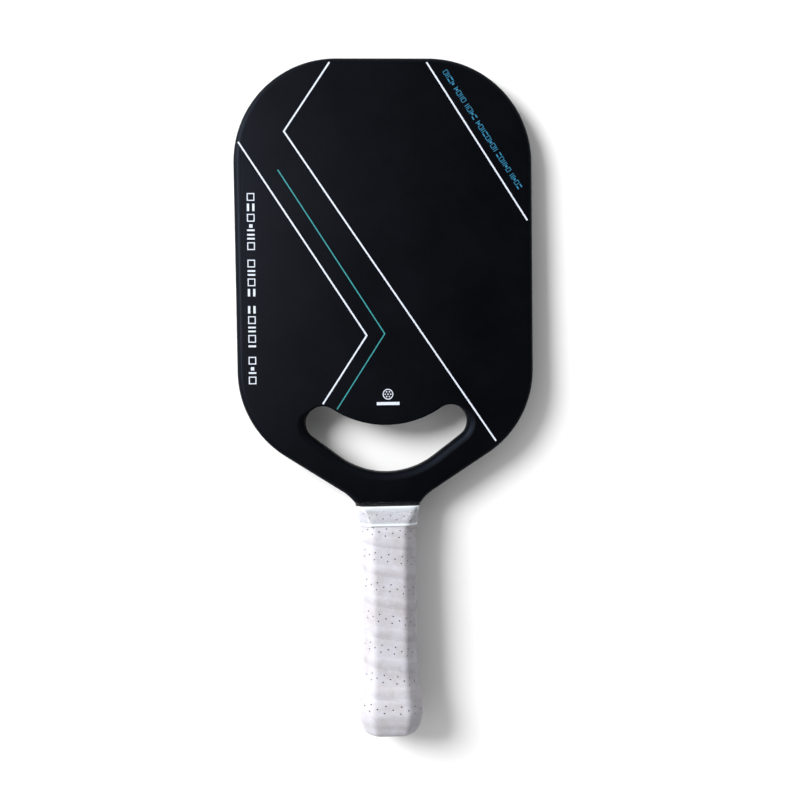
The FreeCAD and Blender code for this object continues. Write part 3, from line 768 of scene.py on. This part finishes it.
def cushionSleeve(shape):
    bm = bmesh.new()
    heights = [shape["low"] + (shape["high"] - shape["low"]) * k / shape["rows"] for k in range(shape["rows"] + 1)]
    outside = shape["under"]
    inside = outside - shape["thickness"]
    start = ring = firstRing(bm, ringPlaces(heights[0], outside, shape["count"]))
    for height in heights[1:]:
        ring = nextRing(bm, ring, ringPlaces(height, outside, shape["count"]))
    for height in heights[::-1]:
        ring = nextRing(bm, ring, ringPlaces(height, inside, shape["count"]))
    bmesh.ops.bridge_loops(bm, edges=ringEdges(bm, ring) + ringEdges(bm, start))
    return bm


cushionFoam = plainPattern("cushionFoam", "#18181a", "#232326", 0.8, 0.85, 0.1)
finishPiece(cushionSleeve(cushionSet), "cushion", [cushionFoam], ("base_grip",))

capSet = {
    "count": 96,
    # way up the grip and depth under its outside: the nose, then the skirt
    "rings": [(-4, -0.9), (-2, -0.9), (-1, -0.9), (0, -0.9), (1, -0.9), (2, -0.9), (4, -0.9), (7, -0.9),
              (9, -0.9), (9.3, -1.95), (15, -1.95), (22, -1.95), (31, -1.95)],
    # radius and depth of the moulded recess in its end
    "recess": [(6.6, 0.9), (5.9, 0.9), (5.6, 1.0), (5.4, 1.4), (5.0, 1.5), (1.7, 1.5), (1.4, 1.4),
               (1.2, 1.2), (0.8, 1.1)],
    "oval": 0.72,
}


def buttCap(shape):
    # a blunt moulding: its nose, a skirt under the cushion, and an oval recess in its end
    bm = bmesh.new()
    count = shape["count"]
    ring = start = firstRing(bm, ringPlaces(*shape["rings"][0], count))
    for height, lift in shape["rings"][1:]:
        ring = nextRing(bm, ring, ringPlaces(height, lift, count))
    bmesh.ops.contextual_create(bm, geom=ringEdges(bm, ring))
    end = start
    angles = [math.atan2(vert.co.z, vert.co.x) for vert in start]
    for radius, depth in shape["recess"]:
        end = nextRing(bm, end, [Vector((radius * math.cos(a), depth, radius * shape["oval"] * math.sin(a))) * mm
                                 for a in angles])
    bmesh.ops.contextual_create(bm, geom=ringEdges(bm, end))
    return bm


mouldedAbs = plainPattern("mouldedAbs", "#d9d8d6", "#e3e2e1", 2.5, 0.38, 0.02)
finishPiece(buttCap(capSet), "buttCap", [mouldedAbs], ("butt_cap",))

filmSet = {"low": 132.4, "high": 146.6, "count": 216, "rows": 26, "thickness": 0.12, "gap": 0.12,
          "tapeUnder": 0.24}      # the last turn's thickness past the stretched layers, mm


def tapeStack(share, height):
    # thickness of all the turns of tape at places on the grip
    slant = math.sin(math.radians(tapeSet["angle"])) / tapeSet["perimeter"]
    upright = math.cos(math.radians(tapeSet["angle"]))
    total = np.zeros_like(share)
    for turn in range(4, 8):
        across = np.zeros_like(share)
        for _ in range(3):
            place = turn + share + across * slant
            across = (height - turnHeight(place)) / upright
        total += smoothStep(-0.6, 0.3, tapeSet["width"] / 2 - np.abs(across)) * (place < tapeSet["lastTurn"])
    return total * tapeSet["layer"] + filmSet["tapeUnder"]


def neckHalf(height):
    reach = shellSet["neckRadius"] ** 2 - (height - shellSet["neckY"]) ** 2
    return shellSet["neckX"] - math.sqrt(reach)


def clearFilm(shape):
    # a stretched sleeve over the end of the tape, drawn down on to the carbon neck
    bm = bmesh.new()
    count, rows = shape["count"], shape["rows"]
    share = np.arange(count) / count
    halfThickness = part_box("edge_wall")[1][2] / mm
    outside, inside = [], []
    for row in range(rows + 1):
        height = shape["low"] + (shape["high"] - shape["low"]) * row / rows
        crinkle = np.array([noise.noise(Vector((s * 60, height * 0.5, 2.2))) * 0.10
                            + noise.noise(Vector((s * 24 + height * 0.3, height * 0.16, 5.5))) * 0.16
                            for s in share])
        lift = tapeStack(share, np.full(count, min(height, tapeSet["top"] - 0.5))) + tapeSet["base"]
        lip = 0.35 * math.exp(-((height - shape["low"] - 0.3) / 0.5) ** 2)
        on = onGrip(share, np.full(count, height), lift + shape["gap"] + crinkle + lip)
        if height > tapeSet["top"]:
            # steps down on to the neck, which is a rounded bar
            drop = float(smoothStep(tapeSet["top"] - 0.2, tapeSet["top"] + 1.3, height))
            half = neckHalf(height)
            neck = np.clip(on, [-half - 0.2, 0, -halfThickness - 0.15], [half + 0.2, 1000, halfThickness + 0.15])
            neck[:, 1] = on[:, 1] + crinkle * 3.0
            on = on * (1 - drop) + neck * drop
        outside.append([Vector(p) * mm for p in on])
    ring = start = firstRing(bm, outside[0])
    for places in outside[1:]:
        ring = nextRing(bm, ring, places)
    shell = bm.faces[:]
    bmesh.ops.recalc_face_normals(bm, faces=shell)
    bmesh.ops.solidify(bm, geom=shell, thickness=shape["thickness"] * mm)
    return bm


# clear shrink film: thin and glossy, doubled up at its lower lip; painted highlights, bright and cool, lie along
# that lip and along the fold over the tape's end
def clearShrinkFilm():
    material, tree, place = newMaterial("clearShrinkFilm")
    crease = noiseOn(tree, place, 2.2, 3.0)
    up = addNode(tree, "ShaderNodeSeparateXYZ", {"Vector": place}).outputs["Y"]
    share = spread(tree, up, 0.0, 1.0, 0.132, 0.147)
    # doubled lip painted bright and cool as a highlight, clear over the tape, a painted highlight along the fold
    # at the tape's end, then clear and dark on the carbon
    veil = stops(tree, share, [(0.02, 0.80), (0.10, 0.72), (0.15, 0.24), (0.40, 0.14), (0.60, 0.26), (0.73, 0.62),
                               (0.80, 0.85), (0.83, 0.12), (1.0, 0.18)])
    tone = stops(tree, share, [(0.0, 0.92), (0.12, 0.86), (0.2, 0.62), (0.62, 0.72), (0.75, 0.84), (0.80, 0.95),
                               (0.835, 0.03), (1.0, 0.02)])
    colour = blendColours(tree, tone, linear("#020303"), linear("#f2f8ff"))
    # opacity rises towards grazing angles, so the film turns paler there: a painted sheen on top of its real gloss
    edge = addNode(tree, "ShaderNodeLayerWeight", {"Blend": 0.2}).outputs["Facing"]
    veil = addNode(tree, "ShaderNodeMath", {0: veil, 1: spread(tree, edge, 0.0, 0.3, 0.0, 1.0)},
                   operation="ADD", use_clamp=True).outputs[0]
    closeMaterial(tree, {"Base Color": colour, "Roughness": 0.15, "IOR": 1.5, "Alpha": veil, "Coat Weight": 1.0,
                         "Coat Roughness": 0.06, "Normal": bumpFrom(tree, crease, 0.15, 0.5)})
    return material


finishPiece(clearFilm(filmSet), "clearFilm", [clearShrinkFilm()], ("finishing_film",))


# ---- the CAD nodes that stay, all inside the shell and the grip
innerFinishes = {
    "front_film_adhesive": ("epoxyFilm", "#8a6a2c", "#a8853c", 3.0, 0.35),
    "back_film_adhesive": ("epoxyFilm", "#8a6a2c", "#a8853c", 3.0, 0.35),
    "perimeter_foam": ("expandedFoam", "#e7e2d2", "#f2eee2", 0.9, 0.9),
    "throat_foam": ("expandedFoam", "#e7e2d2", "#f2eee2", 0.9, 0.9),
    "handle_core": ("expandedFoam", "#e7e2d2", "#f2eee2", 0.9, 0.9),
    "honeycomb_core": ("polypropylene", "#dfe3e4", "#eef1f1", 1.5, 0.45),
    "handle_pallet_front": ("mouldedPuFoam", "#2a2a2c", "#38383a", 0.7, 0.8),
    "handle_pallet_back": ("mouldedPuFoam", "#2a2a2c", "#38383a", 0.7, 0.8),
}
madeFinishes = {}
for nodeName, (finish, first, second, grain, rough) in innerFinishes.items():
    if finish not in madeFinishes:
        madeFinishes[finish] = plainPattern(finish, first, second, grain, rough)
    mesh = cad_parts[nodeName].data
    mesh.materials.clear()
    mesh.materials.append(madeFinishes[finish])
print("inner nodes dressed")


# ---- floor and light
stageSet = {
    "buttRest": 15.0, "headRest": 415.7,      # heights where the paddle touches the floor, mm
    "size": 6.0, "gap": 0.2,                  # metres from its middle to a side, and mm under the paddle
    "fillLow": 0.68, "fillHigh": 0.005,        # round the horizon, and straight above
    "fillSide": (0.12, 1.9),                   # its strength away from the key and towards it
    "keyFrom": (-0.86, 0.51, 0.72), "keyDistance": 4.0, "keySize": 2.1, "keyPower": 240.0,
    "washFrom": (-0.34, 0.14, 0.92), "washDistance": 3.0, "washSize": 0.8, "washPower": 38.0,   # sheen only
}


def paleFloor(shape):
    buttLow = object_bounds()[0][2]
    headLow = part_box("edge_wall")[0][2]
    slope = (headLow - buttLow) / ((shape["headRest"] - shape["buttRest"]) * mm)
    bm = bmesh.new()
    bmesh.ops.create_grid(bm, x_segments=8, y_segments=8, size=shape["size"])
    bmesh.ops.rotate(bm, verts=bm.verts, cent=(0, 0, 0), matrix=Matrix.Rotation(math.atan(slope), 3, "X"))
    rise = buttLow - slope * shape["buttRest"] * mm
    bmesh.ops.translate(bm, verts=bm.verts, vec=(0, 0, rise - shape["gap"] * mm))
    mesh = bpy.data.meshes.new("floor")
    bm.to_mesh(mesh)
    bm.free()
    mesh.materials.append(plainPattern("paintedFloor", "#f4f4f4", "#f7f7f7", 60.0, 0.9, 0.0,
                                       **{"Specular IOR Level": 0.1}))
    floor = bpy.data.objects.new("floor", mesh)
    bpy.context.scene.collection.objects.link(floor)
    floor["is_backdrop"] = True


paleFloor(stageSet)


def softLight(name, way, distance, size, power):
    data = bpy.data.lights.new(name, "AREA")
    data.shape = "DISK"
    data.size = size
    data.energy = power
    light = bpy.data.objects.new(name, data)
    bpy.context.scene.collection.objects.link(light)
    light.location = Vector((middle.x, middle.y, 0)) + way * distance
    light.rotation_euler = way.to_track_quat("Z", "Y").to_euler()
    return light


keyWay = Vector(stageSet["keyFrom"]).normalized()
softLight("softKey", keyWay, stageSet["keyDistance"], stageSet["keySize"], stageSet["keyPower"])
wash = softLight("softWash", Vector(stageSet["washFrom"]).normalized(), stageSet["washDistance"],
                 stageSet["washSize"], stageSet["washPower"])
wash.visible_diffuse = False

world = bpy.data.worlds.new("softFill")
world.use_nodes = True
sky = world.node_tree
way = addNode(sky, "ShaderNodeTexCoord").outputs["Generated"]
up = addNode(sky, "ShaderNodeSeparateXYZ", {"Vector": way}).outputs["Z"]
glow = spread(sky, up, stageSet["fillLow"], stageSet["fillHigh"], 0.72, 0.94)
toKey = addNode(sky, "ShaderNodeVectorMath", {0: way, 1: tuple(keyWay)}, operation="DOT_PRODUCT").outputs["Value"]
side = spread(sky, toKey, *stageSet["fillSide"], -0.7, 1.0)
glow = addNode(sky, "ShaderNodeMath", {0: glow, 1: side}, operation="MULTIPLY").outputs[0]
sky.links.new(glow, sky.nodes["Background"].inputs["Strength"])
sky.nodes["Background"].inputs["Color"].default_value = (1, 1, 1, 1)
bpy.context.scene.world = world
bpy.context.scene.view_settings.view_transform = "Standard"
print("stage set")
